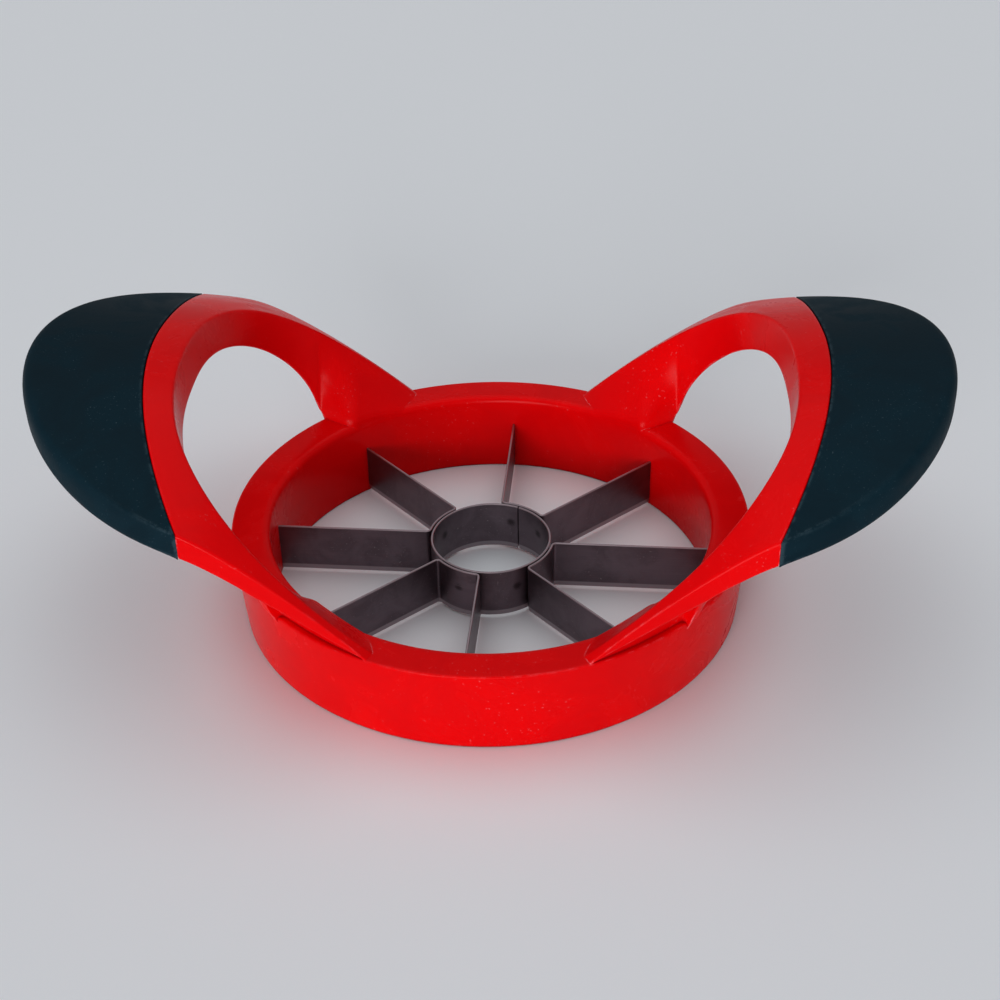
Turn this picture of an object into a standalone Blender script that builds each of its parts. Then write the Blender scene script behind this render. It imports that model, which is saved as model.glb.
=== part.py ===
"""Apple slicer: a moulded frame with a ring and two raised wings, a soft grip on the end of each
wing, a rolled core ring, and four bent blade strips that make eight legs between ring and core."""

from math import atan2, cos, exp, pi, radians, sin, sqrt

import bmesh
import bpy
from mathutils import Vector

# Ring of the frame
RING_HEIGHT = 0.0192
RING_BORE_RADIUS = 0.0476
RIM_WIDTH = 0.0082
WALL_DRAFT = 0.0015
RING_RIM_RADIUS = RING_BORE_RADIUS + RIM_WIDTH
RING_FOOT_RADIUS = RING_RIM_RADIUS - WALL_DRAFT
RING_RIM_ROUND = 0.0004
RING_FOOT_ROUND = 0.0006
RING_BORE_ROUND = 0.0012
RING_SEGMENTS = 96

# Hollow under the ring, open to the table, with webs left between its pockets
POCKET_WALL = 0.0030
POCKET_SKIN = 0.0015
POCKET_ROOF = 0.0032
POCKET_COUNT = 16
POCKET_WEB = 0.0016
POCKET_STEPS = 5

# Wing outline in plan: a straight arm from the rim, then an oval end
FOOT_ANGLE = radians(68)
FOOT_INSET = 0.0005
FOOT_X = (RING_RIM_RADIUS - FOOT_INSET) * cos(FOOT_ANGLE)
FOOT_Y = (RING_RIM_RADIUS - FOOT_INSET) * sin(FOOT_ANGLE)
ROOT_RUN = 0.0035
ROOT_X = FOOT_X - ROOT_RUN
OVAL_INSET = 0.0078
OVAL_CENTRE_X = RING_RIM_RADIUS - OVAL_INSET
OVAL_HALF_WIDTH = RING_RIM_RADIUS - OVAL_INSET
OVAL_LENGTH = 0.0459
WING_TIP_X = OVAL_CENTRE_X + OVAL_LENGTH

# Finger hole in plan
HOLE_REACH = 0.0066
HOLE_INSET = 0.0066
HOLE_END_X = RING_RIM_RADIUS + HOLE_REACH
HOLE_HALF_WIDTH = RING_RIM_RADIUS - HOLE_INSET
HOLE_END_POWER = 2.2
HOLE_SIDE_POWER = 2.5
SPLIT_SHARE = 0.70
SPLIT_HOLE_X = FOOT_X + (HOLE_END_X - FOOT_X) * SPLIT_SHARE

# Seam between the red arm and the soft grip: the red reaches further out at the back
RED_BAND = 0.0071
SEAM_CREST_X = HOLE_END_X + RED_BAND
SEAM_CREST_Y = 0.0080
SEAM_FRONT_RUN = 0.0138
SEAM_FRONT_X = SEAM_CREST_X - SEAM_FRONT_RUN
SEAM_FRONT_POWER = 2.2
SEAM_BACK_RUN = 0.0015
SEAM_BACK_X = SEAM_CREST_X - SEAM_BACK_RUN
SEAM_BACK_POWER = 1.3
SEAM_GAP = 0.0003

# Upper face of a wing: it climbs steeply from the rim, bends over and runs out almost level,
# and it is arched from front to back
WING_TOP = 0.0609
END_SLOPE = 0.10
BEND_BEYOND_RIM = 0.0002
BEND_X = RING_RIM_RADIUS + BEND_BEYOND_RIM
BEND_ROUND = 0.0050
CLIMB_SLOPE = 0.45
CLIMB_STEEPENING = 0.200
ARCH_RADIUS = 0.1040
SINK = 0.0006

# Depth of a wing: thin at the outer edge, deep at the finger hole
EDGE_DEPTH = 0.0060
EDGE_DEPTH_GROWTH = 0.0150
EDGE_DEPTH_LEAST = 0.0006
SEAM_DEPTH = 0.0088

# Lower edge of the finger hole's wall: it runs along the bore and lifts off the rim, drops back
# as it crosses the rim, and climbs to the hole's end
BORE_END_SHARE = 0.35
RIM_END_SHARE = 0.515
LIFT = 0.0037
LIFT_SINK = 0.0008
LIFT_POWER = 1.7
RIM_CLEAR = 0.0005
BORE_STOCK = 0.0020
BORE_CLEARANCE = 0.0001
CROSSING_POWER = 4.2
CROSSING_ROUND = 0.0045
HOLE_END_DEPTH = 0.0083
CLIMB_POWER = 0.65
HOLE_END_LEAN = 0.0011
HOLE_LEAN_POWER = 8

# Root of a wing, from the lower edge down into the ring
ROOT_DROP = 0.0042
ROOT_OUTER_INSET = 0.0020
ROOT_SIDE_INSET = 0.0004
ROOT_SKIN = 0.0012
ROOT_END_SHARE = 0.485
ROOT_FADE_SHARE = 0.010
UNDER_LIP_SHARE = 0.18
UNDER_HOLLOW_SHARE = 0.55
UNDER_MIDDLE_SHARE = 0.50

# Edges of the wings and of the grips
HOLE_EDGE_ROUND = 0.0007
WING_EDGE_ROUND = 0.0006
GRIP_EDGE_ROUND = 0.0052
GRIP_UNDER_ROUND = 0.0026
GRIP_BELLY = 0.0030
EDGE_STEPS = 2
WIDE_EDGE = 0.0020
WIDE_EDGE_STEPS = 6
ROUND_LIMIT_SHARE = 0.45

# Tongue of the frame that carries a grip
TONGUE_COVER = 0.0024
TONGUE_EDGE_COVER = 0.0050
TONGUE_ROOT = 0.0030
TONGUE_START_SHARE = 0.30
TONGUE_CLEARANCE = 0.0003
TONGUE_CUT_OVERRUN = 0.0012

WING_STEPS = 26
END_STEPS = 13
ACROSS_STEPS = 3

# Blades and core ring
BLADE_BOTTOM = 0.0006
BLADE_DROP = 0.0072
BLADE_TOP = RING_HEIGHT - BLADE_DROP
BLADE_THICKNESS = 0.0005
BLADE_EDGE_THICKNESS = 0.0001
BLADE_GRIND = 0.0012
BLADE_SEAT = 0.0019
BLADE_BEND = 0.0010
BEND_STEPS = 4
BEND_REACH_SHARE = 0.5
CORE_RADIUS = 0.0132
CORE_THICKNESS = 0.0005
CORE_SEAM_GAP = 0.0003
CORE_SEAM_ANGLE = radians(64)
CORE_SEGMENTS = 64
WELD_GAP = 0.0003
STRIP_COUNT = 4
LEG_ANGLE = pi / 4
LEG_WALL_TURN = radians(-4)
LEG_CORE_TURN = radians(-8)
FIRST_LEG_ANGLE = pi / 2
STRIP_ARC_STEPS = 7
SLOT_CLEARANCE = 0.0003
CUT_OVERRUN = 0.0010
BORE_CUT_RISE = 0.0120

SMOOTH_ANGLE = radians(32)


def clear_scene():
    """Remove every object of the scene."""
    for item in list(bpy.data.objects):
        bpy.data.objects.remove(item, do_unlink=True)


def make_material(name, colour, roughness, metallic):
    """A plain surface with the colour and gloss of the real piece."""
    material = bpy.data.materials.new(name)
    material.use_nodes = True
    shader = material.node_tree.nodes["Principled BSDF"]
    shader.inputs["Base Color"].default_value = (*colour, 1)
    shader.inputs["Roughness"].default_value = roughness
    shader.inputs["Metallic"].default_value = metallic
    return material


def make_object(name, mesh_data, material=None):
    """An object from a working mesh, with outward faces and smooth rounds."""
    bmesh.ops.recalc_face_normals(mesh_data, faces=mesh_data.faces)
    mesh = bpy.data.meshes.new(name)
    mesh_data.to_mesh(mesh)
    mesh_data.free()
    for face in mesh.polygons:
        face.use_smooth = True
    mesh.set_sharp_from_angle(angle=SMOOTH_ANGLE)
    item = bpy.data.objects.new(name, mesh)
    bpy.context.collection.objects.link(item)
    if material:
        mesh.materials.append(material)
    return item


def make_tool(name, mesh_data):
    """A body that only shapes another one, so it isn't a piece of its own."""
    tool = make_object(name, mesh_data)
    tool.hide_render = True
    tool.display_type = "WIRE"
    return tool


def combine(item, tool, operation):
    """Join a tool's body to an object, or cut it away."""
    modifier = item.modifiers.new(tool.name, "BOOLEAN")
    modifier.operation = operation
    modifier.solver = "EXACT"
    modifier.object = tool


def settle(item):
    """Keep the joined and cut shape as the object's own mesh, with crisp edges where it is cut."""
    shaped = item.evaluated_get(bpy.context.evaluated_depsgraph_get())
    mesh = bpy.data.meshes.new_from_object(shaped)
    tools = [modifier.object for modifier in item.modifiers]
    item.modifiers.clear()
    item.data = mesh
    mesh.name = item.name
    mesh.set_sharp_from_angle(angle=SMOOTH_ANGLE)
    for tool in tools:
        bpy.data.objects.remove(tool, do_unlink=True)


def loft(target, sections, closed=False):
    """Skin a row of sections that have the same number of points, and cap both ends."""
    rows = [[target.verts.new(point) for point in section] for section in sections]
    count = len(rows[0])
    pairs = list(zip(rows, rows[1:]))
    if closed:
        pairs.append((rows[-1], rows[0]))
    for row, following in pairs:
        for index in range(count):
            after = (index + 1) % count
            target.faces.new((row[index], row[after], following[after], following[index]))
    if not closed:
        target.faces.new(rows[0])
        target.faces.new(reversed(rows[-1]))


def soften(corners, setbacks):
    """Replace each corner that has a setback with a short curve that meets both its sides."""
    outline = []
    for index, (corner, setback) in enumerate(zip(corners, setbacks)):
        before = corners[index - 1] - corner
        after = corners[(index + 1) % len(corners)] - corner
        if not setback:
            outline.append(corner)
            continue
        start_reach = min(setback, before.length * ROUND_LIMIT_SHARE)
        finish_reach = min(setback, after.length * ROUND_LIMIT_SHARE)
        start = corner + before.normalized() * start_reach
        finish = corner + after.normalized() * finish_reach
        steps = WIDE_EDGE_STEPS if setback > WIDE_EDGE else EDGE_STEPS
        for step in range(steps + 1):
            share = step / steps
            outline.append(start.lerp(corner, share).lerp(corner.lerp(finish, share), share))
    return outline


def turned(corners, rounds, segments):
    """A body turned round the upright axis from a section with softened corners."""
    profile = soften(corners, rounds)
    sections = []
    for index in range(segments):
        turn = 2 * pi * index / segments
        sections.append([Vector((p.x * cos(turn), p.x * sin(turn), p.z)) for p in profile])
    body = bmesh.new()
    loft(body, sections, closed=True)
    return body


def ring_body():
    """The ring: a straight bore, a flat rim and a drafted outer wall."""
    corners = [
        Vector((RING_BORE_RADIUS, 0, 0)),
        Vector((RING_BORE_RADIUS, 0, RING_HEIGHT)),
        Vector((RING_RIM_RADIUS, 0, RING_HEIGHT)),
        Vector((RING_FOOT_RADIUS, 0, 0)),
    ]
    rounds = [0, RING_BORE_ROUND, RING_RIM_ROUND, RING_FOOT_ROUND]
    return turned(corners, rounds, RING_SEGMENTS)


def bore_tool():
    """The space over the bore, which trims the feet of the wings where they lift off the rim."""
    body = bmesh.new()
    circle = []
    for index in range(RING_SEGMENTS):
        turn = 2 * pi * index / RING_SEGMENTS
        circle.append(Vector((cos(turn), sin(turn), 0)) * (RING_BORE_RADIUS + BORE_CLEARANCE))
    low = Vector((0, 0, -CUT_OVERRUN))
    high = Vector((0, 0, RING_HEIGHT + BORE_CUT_RISE))
    loft(body, [[place + low for place in circle], [place + high for place in circle]])
    return make_tool("bore", body)


def pocket_tool():
    """The hollow under the ring, as a ring of arc-shaped pockets."""
    body = bmesh.new()
    inner_radius = RING_BORE_RADIUS + POCKET_WALL
    outer_radius = RING_FOOT_RADIUS - POCKET_SKIN
    middle_radius = (inner_radius + outer_radius) / 2
    pitch = 2 * pi / POCKET_COUNT
    span = pitch - POCKET_WEB / middle_radius
    roof = RING_HEIGHT - POCKET_ROOF
    for pocket in range(POCKET_COUNT):
        sections = []
        for step in range(POCKET_STEPS + 1):
            turn = pitch * pocket + span * (step / POCKET_STEPS - 1 / 2)
            inner = Vector((cos(turn), sin(turn), 0)) * inner_radius
            outer = Vector((cos(turn), sin(turn), 0)) * outer_radius
            low = Vector((0, 0, -CUT_OVERRUN))
            high = Vector((0, 0, roof))
            sections.append([inner + low, outer + low, outer + high, inner + high])
        loft(body, sections)
    return make_tool("ring_pockets", body)


def climb_from_ring(x):
    """Distance in from the wing's bend, with a soft start."""
    run = BEND_X - x
    return (run + sqrt(run * run + BEND_ROUND * BEND_ROUND)) / 2


def wing_drop(x, y):
    """How far a wing's upper face is below its highest level, before it is fitted to the rim."""
    climb = climb_from_ring(x)
    slope = END_SLOPE * (WING_TIP_X - x) + CLIMB_SLOPE * climb
    return slope + climb * climb / CLIMB_STEEPENING + y * y / (2 * ARCH_RADIUS)


def wing_top(x, y):
    """Height of a wing's upper face over a place in plan: it meets the rim at the wing's foot."""
    fit = (WING_TOP - RING_HEIGHT + SINK) / wing_drop(FOOT_X, FOOT_Y)
    return WING_TOP - fit * wing_drop(x, y)


def edge_depth(x):
    """Height of a wing's thin outer side, which fades out towards the rim."""
    run = max(x - FOOT_X, 0)
    return max(EDGE_DEPTH * (1 - exp(-run / EDGE_DEPTH_GROWTH)), EDGE_DEPTH_LEAST)


def oval_y(x):
    """Outer edge of a wing's oval end."""
    return OVAL_HALF_WIDTH * sqrt(1 - ((x - OVAL_CENTRE_X) / OVAL_LENGTH) ** 2)


def outer_y(x):
    """Outer edge of a wing: a straight arm up to the front end of the seam, then the oval."""
    if x > SEAM_FRONT_X:
        return oval_y(x)
    share = (x - FOOT_X) / (SEAM_FRONT_X - FOOT_X)
    return FOOT_Y + (oval_y(SEAM_FRONT_X) - FOOT_Y) * share


def hole_share(x):
    """Place along the finger hole, from the wing's foot at 0 to the hole's end at 1."""
    return (x - FOOT_X) / (HOLE_END_X - FOOT_X)


def hole_y(x):
    """Half width of the finger hole at a distance from the ring's centre."""
    share = min(max(hole_share(x), 0), 1)
    return HOLE_HALF_WIDTH * (1 - share**HOLE_END_POWER) ** (1 / HOLE_SIDE_POWER)


def hole_x(y):
    """Reach of the finger hole at a distance from the middle."""
    share = (abs(y) / HOLE_HALF_WIDTH) ** HOLE_SIDE_POWER
    return FOOT_X + (HOLE_END_X - FOOT_X) * (1 - share) ** (1 / HOLE_END_POWER)


def seam_end(way):
    """Place in plan where the seam meets the outer edge, at the front (-1) or at the back (1)."""
    x = SEAM_FRONT_X if way < 0 else SEAM_BACK_X
    return Vector((x, way * outer_y(x), 0))


def seam_x(y):
    """Reach of the red arm, where the soft grip starts."""
    run, way, power = SEAM_BACK_RUN, 1, SEAM_BACK_POWER
    if y < SEAM_CREST_Y:
        run, way, power = SEAM_FRONT_RUN, -1, SEAM_FRONT_POWER
    span = seam_end(way).y - SEAM_CREST_Y
    return SEAM_CREST_X - run * ((y - SEAM_CREST_Y) / span) ** power


def seam_depth(share, way):
    """Depth of the wing along the seam, from its outer end at 0 to the middle at 1."""
    start = edge_depth(seam_end(way).x)
    return start + (SEAM_DEPTH - start) * sin(share * pi / 2)


def wall_foot_height(share):
    """Height of the lower edge of the finger hole's wall along the hole."""
    if share < BORE_END_SHARE:
        left = min(1 - share / BORE_END_SHARE, 1)
        return RING_HEIGHT + LIFT - (LIFT + LIFT_SINK) * left**LIFT_POWER
    across = min((share - BORE_END_SHARE) / (RIM_END_SHARE - BORE_END_SHARE), 1)
    run = max(share - RIM_END_SHARE, 0) / (1 - RIM_END_SHARE)
    rise = wing_top(HOLE_END_X, 0) - HOLE_END_DEPTH - RING_HEIGHT - RIM_CLEAR
    lift = (LIFT - RIM_CLEAR) * (1 + cos(pi * across)) / 2
    return RING_HEIGHT + RIM_CLEAR + lift + rise * run**CLIMB_POWER


def bore_y(x, clearance):
    """Half width of the bore at a distance from the ring's centre, drawn in by a clearance."""
    return sqrt(max((RING_BORE_RADIUS - clearance) ** 2 - x * x, 0))


def wall_inset(x, y):
    """How far the lower edge of the finger hole's wall lies inside the upper edge: it follows the
    bore near the ring and then comes ever closer."""
    turn_x = FOOT_X + (HOLE_END_X - FOOT_X) * BORE_END_SHARE
    widest = hole_y(turn_x) - bore_y(turn_x, BORE_STOCK)
    left = (1 - min(hole_share(x), 1)) / (1 - BORE_END_SHARE)
    crossing = HOLE_END_LEAN + (widest - HOLE_END_LEAN) * left**CROSSING_POWER
    if x > RING_BORE_RADIUS - BORE_STOCK:
        return crossing
    along = abs(y) - bore_y(x, BORE_STOCK)
    apart = along - crossing
    return (along + crossing - sqrt(apart * apart + CROSSING_ROUND * CROSSING_ROUND)) / 2


def wall_foot(x, y):
    """Lower edge of the finger hole's wall under a place of its upper edge."""
    way = 1 if y > 0 else -1
    share = hole_share(x)
    inset = wall_inset(x, y)
    across = min(max(share, 0), 1) ** HOLE_LEAN_POWER
    inner_y = y - way * inset * sqrt(1 - across * across)
    return Vector((x - inset * across, inner_y, wall_foot_height(share)))


def arm_underside(edge, foot, crest):
    """Underside from the outer edge to the hole's wall: hollowed where the arm is free, and near
    the ring a root that stands in the ring's wall."""
    way = 1 if edge.y > 0 else -1
    share = 1 / (1 + exp((hole_share(foot.x) - ROOT_END_SHARE) / ROOT_FADE_SHARE))
    low = RING_HEIGHT - ROOT_DROP
    side_radius = RING_RIM_RADIUS - ROOT_SIDE_INSET
    outer_radius = RING_RIM_RADIUS - ROOT_OUTER_INSET
    side_y = max(sqrt(max(side_radius**2 - foot.x**2, 0)), abs(foot.y))
    outer_root_y = max(sqrt(max(outer_radius**2 - foot.x**2, 0)), abs(foot.y))
    inner_root_y = max(abs(foot.y), bore_y(foot.x, 0))
    wall_rise = (side_y - abs(foot.y)) / max(abs(crest.y) - abs(foot.y), ROOT_SKIN)
    wall = foot.lerp(crest, min(max(wall_rise, 0), 1)).z - ROOT_SKIN
    side_z = min(edge.z, max(wall, low))
    edge_rise = (edge.z - foot.z) / max(crest.z - foot.z, ROOT_SKIN)
    lip = foot.lerp(edge, UNDER_LIP_SHARE)
    hollow = edge.lerp(foot.lerp(crest, min(max(edge_rise, 0), 1)), UNDER_HOLLOW_SHARE)
    hollow.z = edge.z
    middle = hollow.lerp(lip, UNDER_MIDDLE_SHARE)
    return [
        hollow.lerp(Vector((foot.x, way * min(side_y, abs(edge.y)), side_z)), share),
        middle.lerp(Vector((foot.x, way * min(outer_root_y, abs(edge.y)), min(low, edge.z))), share),
        lip.lerp(Vector((foot.x, way * inner_root_y, low)), share),
    ]


def wing_corners(inner, outer, depth):
    """Corners of a wing's section, from the hole's lower edge over the top to the underside."""
    corners = [wall_foot(*inner)]
    for step in range(ACROSS_STEPS + 1):
        share = step / ACROSS_STEPS
        x = inner[0] + (outer[0] - inner[0]) * share
        y = inner[1] + (outer[1] - inner[1]) * share
        corners.append(Vector((x, y, wing_top(x, y))))
    edge = corners[-1] - Vector((0, 0, depth))
    corners.append(edge)
    corners += arm_underside(edge, corners[0], corners[1])
    return corners


def half_arm(way):
    """Sections of the red arm from the rim to the middle of the wing's end, at the front (-1) or
    at the back (1)."""
    tops = [0] * (ACROSS_STEPS - 1)
    rounds = [HOLE_EDGE_ROUND, HOLE_EDGE_ROUND, *tops, WING_EDGE_ROUND, WING_EDGE_ROUND, 0, 0, 0]
    sections = []
    corner = seam_end(way)
    lead = corner.x - SPLIT_HOLE_X
    for step in range(WING_STEPS):
        share = step / WING_STEPS
        x = ROOT_X + (SPLIT_HOLE_X - ROOT_X) * share
        edge_x = x + lead * share**3
        inner = (x, way * min(hole_y(x), outer_y(x) - EDGE_DEPTH_LEAST))
        corners = wing_corners(inner, (edge_x, way * outer_y(edge_x)), edge_depth(edge_x))
        sections.append(soften(corners, rounds))
    for step in range(END_STEPS + 1):
        share = step / END_STEPS
        y = way * hole_y(SPLIT_HOLE_X) * (1 - share)
        edge_y = corner.y * (1 - share)
        corners = wing_corners((hole_x(y), y), (seam_x(edge_y), edge_y), seam_depth(share, way))
        sections.append(soften(corners, rounds))
    return sections


def both_halves(half):
    """Sections of the front half and then of the back half, which meet in the middle."""
    return half(-1) + half(1)[-2::-1]


def on_side(sections, side):
    """Put a row of sections on the right (1) or on the left (-1)."""
    return [[Vector((p.x * side, p.y, p.z)) for p in section] for section in sections]


def oval_point(share, way):
    """Outer edge of the grip, from the seam's end at 0 to the tip at 1."""
    corner = seam_end(way)
    start = atan2(corner.y / OVAL_HALF_WIDTH, (corner.x - OVAL_CENTRE_X) / OVAL_LENGTH)
    turn = start * (1 - share)
    return Vector((OVAL_CENTRE_X + OVAL_LENGTH * cos(turn), OVAL_HALF_WIDTH * sin(turn), 0))


def slab_section(inner, outer, inner_depth, outer_depth, cover, steps):
    """Section between two places in plan, under the wing's upper face and over its underside."""
    upper = []
    lower = []
    for step in range(steps + 1):
        share = step / steps
        place = inner.lerp(outer, share)
        top = wing_top(place.x, place.y)
        depth = inner_depth + (outer_depth - inner_depth) * share
        upper.append(Vector((place.x, place.y, top - cover)))
        lower.append(Vector((place.x, place.y, top - depth + cover)))
    return upper + lower[::-1]


def half_grip(way):
    """Sections of the soft grip from the seam's end to the tip."""
    sections = []
    steps = ACROSS_STEPS + 1
    rounds = [0] * steps + [GRIP_EDGE_ROUND, GRIP_UNDER_ROUND] + [0] * steps
    for step in range(END_STEPS + 1):
        share = step / END_STEPS
        edge_y = seam_end(way).y * (1 - share)
        inner = Vector((seam_x(edge_y) + SEAM_GAP, edge_y, 0))
        outer = oval_point(share, way)
        outer.x = max(outer.x, inner.x + SEAM_GAP)
        depth = seam_depth(share, way)
        edge = edge_depth(outer.x) + GRIP_BELLY * sin(share * pi / 2)
        corners = slab_section(inner, outer, depth, edge, 0, steps)
        sections.append(soften(corners, rounds))
    return sections


def half_tongue(way, overrun, clearance):
    """Sections of the tongue in the grip, or of the cavity that it fills."""
    sections = []
    for step in range(END_STEPS + 1):
        share = TONGUE_START_SHARE + (1 - TONGUE_START_SHARE) * step / END_STEPS
        if step == 0:
            share -= clearance / abs(seam_end(way).y)
        edge_y = seam_end(way).y * (1 - share)
        seam = Vector((seam_x(edge_y), edge_y, 0))
        edge = oval_point(share, way)
        along = (edge - seam).normalized()
        outer = edge - along * (TONGUE_EDGE_COVER - clearance)
        inner = seam - along * overrun
        cover = TONGUE_COVER - clearance
        depth = seam_depth(share, way)
        sections.append(slab_section(inner, outer, depth, edge_depth(edge.x), cover, ACROSS_STEPS))
    return sections


def slot_tool():
    """The pockets in the ring's bore that hold the ends of the blades."""
    body = bmesh.new()
    half = BLADE_THICKNESS / 2 + SLOT_CLEARANCE
    low = BLADE_BOTTOM - SLOT_CLEARANCE
    high = BLADE_TOP + SLOT_CLEARANCE
    for leg in range(2 * STRIP_COUNT):
        start, finish = leg_ends(leg)
        along = (finish - start).normalized()
        across = Vector((-along.y, along.x, 0)) * half
        close = finish - along * (BLADE_SEAT + CUT_OVERRUN)
        deep = finish + along * SLOT_CLEARANCE
        sections = []
        for place in (close, deep):
            sections.append([
                place - across + Vector((0, 0, low)),
                place + across + Vector((0, 0, low)),
                place + across + Vector((0, 0, high)),
                place - across + Vector((0, 0, high)),
            ])
        loft(body, sections)
    return make_tool("blade_slots", body)


def leg_ends(leg):
    """Plan of a blade leg, from its bend at the core ring to its seat in the ring."""
    angle = FIRST_LEG_ANGLE - leg * LEG_ANGLE
    core_radius = CORE_RADIUS + WELD_GAP + BLADE_THICKNESS / 2
    wall_radius = RING_BORE_RADIUS + BLADE_SEAT
    inner = Vector((cos(angle + LEG_CORE_TURN), sin(angle + LEG_CORE_TURN), 0)) * core_radius
    outer = Vector((cos(angle + LEG_WALL_TURN), sin(angle + LEG_WALL_TURN), 0)) * wall_radius
    return inner, outer


def strip_path(strip):
    """Plan of a blade strip: in along one leg, round the core ring, out along the next leg."""
    first_inner, first_outer = leg_ends(2 * strip)
    last_inner, last_outer = leg_ends(2 * strip + 1)
    radius = first_inner.length
    start = FIRST_LEG_ANGLE - 2 * strip * LEG_ANGLE + LEG_CORE_TURN
    bend = BLADE_BEND / radius
    arc = []
    for step in range(STRIP_ARC_STEPS + 1):
        turn = start - bend - (LEG_ANGLE - 2 * bend) * step / STRIP_ARC_STEPS
        arc.append(Vector((cos(turn), sin(turn), 0)) * radius)
    bend_start = first_inner + (first_outer - first_inner).normalized() * BLADE_BEND
    bend_finish = last_inner + (last_outer - last_inner).normalized() * BLADE_BEND
    path = [first_outer]
    path += bend_points(bend_start, first_inner, arc[0])
    path += arc[1:-1]
    path += bend_points(arc[-1], last_inner, bend_finish)
    path.append(last_outer)
    return path


def bend_points(start, corner, finish):
    """A bend of the strip, as a short curve from one place to the next."""
    points = []
    for step in range(BEND_STEPS + 1):
        share = step / BEND_STEPS
        points.append(start.lerp(corner, share).lerp(corner.lerp(finish, share), share))
    return points


def strip_body(path, thickness):
    """A strip of steel on edge along a path in plan, with its lower edge ground thin."""
    sections = []
    last = len(path) - 1
    for index, place in enumerate(path):
        before = place - path[max(index - 1, 0)]
        after = path[min(index + 1, last)] - place
        along = (before.normalized() + after.normalized()).normalized()
        one_side = after if index == 0 else before
        across = Vector((-along.y, along.x, 0))
        reach = 1 / max(along.dot(one_side.normalized()), BEND_REACH_SHARE)
        wide = across * (thickness / 2 * reach)
        thin = across * (BLADE_EDGE_THICKNESS / 2 * reach)
        shoulder = Vector((0, 0, BLADE_BOTTOM + BLADE_GRIND))
        top = Vector((0, 0, BLADE_TOP))
        edge = Vector((0, 0, BLADE_BOTTOM))
        sections.append([
            place - wide + top,
            place - wide + shoulder,
            place - thin + edge,
            place + thin + edge,
            place + wide + shoulder,
            place + wide + top,
        ])
    body = bmesh.new()
    loft(body, sections)
    return body


def make_frame(material):
    """The moulded frame: ring, both wings with their tongues, bore, blade slots and hollow
    underside."""
    frame = make_object("frame", ring_body(), material)
    bore = bore_tool()
    for name, side in (("right", 1), ("left", -1)):
        arm = bmesh.new()
        loft(arm, on_side(both_halves(half_arm), side))
        wing = make_tool(f"wing_{name}", arm)
        combine(wing, bore, "DIFFERENCE")
        combine(frame, wing, "UNION")
        tongue = bmesh.new()
        sections = both_halves(lambda way: half_tongue(way, TONGUE_ROOT, 0))
        loft(tongue, on_side(sections, side))
        combine(frame, make_tool(f"tongue_{name}", tongue), "UNION")
    combine(frame, pocket_tool(), "DIFFERENCE")
    combine(frame, slot_tool(), "DIFFERENCE")
    settle(frame)
    bpy.data.objects.remove(bore, do_unlink=True)
    return frame


def make_grip(name, side, material):
    """A soft grip: an oval cap over the end of a wing, hollow where the tongue goes in."""
    body = bmesh.new()
    loft(body, on_side(both_halves(half_grip), side))
    grip = make_object(f"grip_{name}", body, material)
    cavity = bmesh.new()
    sections = both_halves(lambda way: half_tongue(way, TONGUE_CUT_OVERRUN, TONGUE_CLEARANCE))
    loft(cavity, on_side(sections, side))
    combine(grip, make_tool(f"cavity_{name}", cavity), "DIFFERENCE")
    settle(grip)
    return grip


def make_core_ring(material):
    """The core ring: a strip rolled into a circle, with a narrow open seam."""
    middle = CORE_RADIUS - CORE_THICKNESS / 2
    gap = CORE_SEAM_GAP / middle
    path = []
    for step in range(CORE_SEGMENTS + 1):
        turn = CORE_SEAM_ANGLE + gap / 2 + (2 * pi - gap) * step / CORE_SEGMENTS
        path.append(Vector((cos(turn), sin(turn), 0)) * middle)
    return make_object("core_ring", strip_body(path, CORE_THICKNESS), material)


def make_blades(material):
    """Four blade strips, each with two legs and a curved middle that hugs the core ring."""
    for strip in range(STRIP_COUNT):
        body = strip_body(strip_path(strip), BLADE_THICKNESS)
        make_object(f"blade_strip_{strip + 1}", body, material)


def build():
    """Build every piece of the slicer."""
    clear_scene()
    plastic = make_material("red_plastic", (0.80, 0.004, 0.006), 0.22, 0)
    rubber = make_material("dark_rubber", (0.006, 0.018, 0.024), 0.62, 0)
    steel = make_material("blade_steel", (0.42, 0.40, 0.41), 0.38, 1)
    make_frame(plastic)
    make_grip("right", 1, rubber)
    make_grip("left", -1, rubber)
    make_core_ring(steel)
    make_blades(steel)


build()
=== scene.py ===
"""An apple slicer as it stands on a table: a red moulded ring with two raised wings, a dark soft
grip on the end of each wing, and eight steel blade legs between the ring and a rolled core ring."""

import bpy
import numpy as np
from mathutils import Matrix, Vector


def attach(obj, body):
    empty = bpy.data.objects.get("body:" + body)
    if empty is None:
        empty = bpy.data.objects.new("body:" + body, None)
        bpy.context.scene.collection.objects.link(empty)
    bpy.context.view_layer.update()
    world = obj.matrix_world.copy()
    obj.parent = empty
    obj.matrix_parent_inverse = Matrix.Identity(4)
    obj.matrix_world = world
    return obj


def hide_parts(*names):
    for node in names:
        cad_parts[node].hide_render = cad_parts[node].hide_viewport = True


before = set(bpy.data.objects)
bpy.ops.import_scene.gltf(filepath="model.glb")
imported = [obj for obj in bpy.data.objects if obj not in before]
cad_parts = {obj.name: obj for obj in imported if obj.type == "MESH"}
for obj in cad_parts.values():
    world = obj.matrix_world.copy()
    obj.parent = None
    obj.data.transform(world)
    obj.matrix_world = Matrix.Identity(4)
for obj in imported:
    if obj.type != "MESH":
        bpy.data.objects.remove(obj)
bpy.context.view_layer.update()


# The camera stands in front of the slicer and a little to its right, at arm's length, and looks
# down at it by about a third of a right angle, with a very small roll to the left.
eye = Vector((0.01711, -0.28548, 0.21587))
gaze = Vector((-0.0433, 0.8262, -0.5617)).normalized()
roll = -0.01845508
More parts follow.
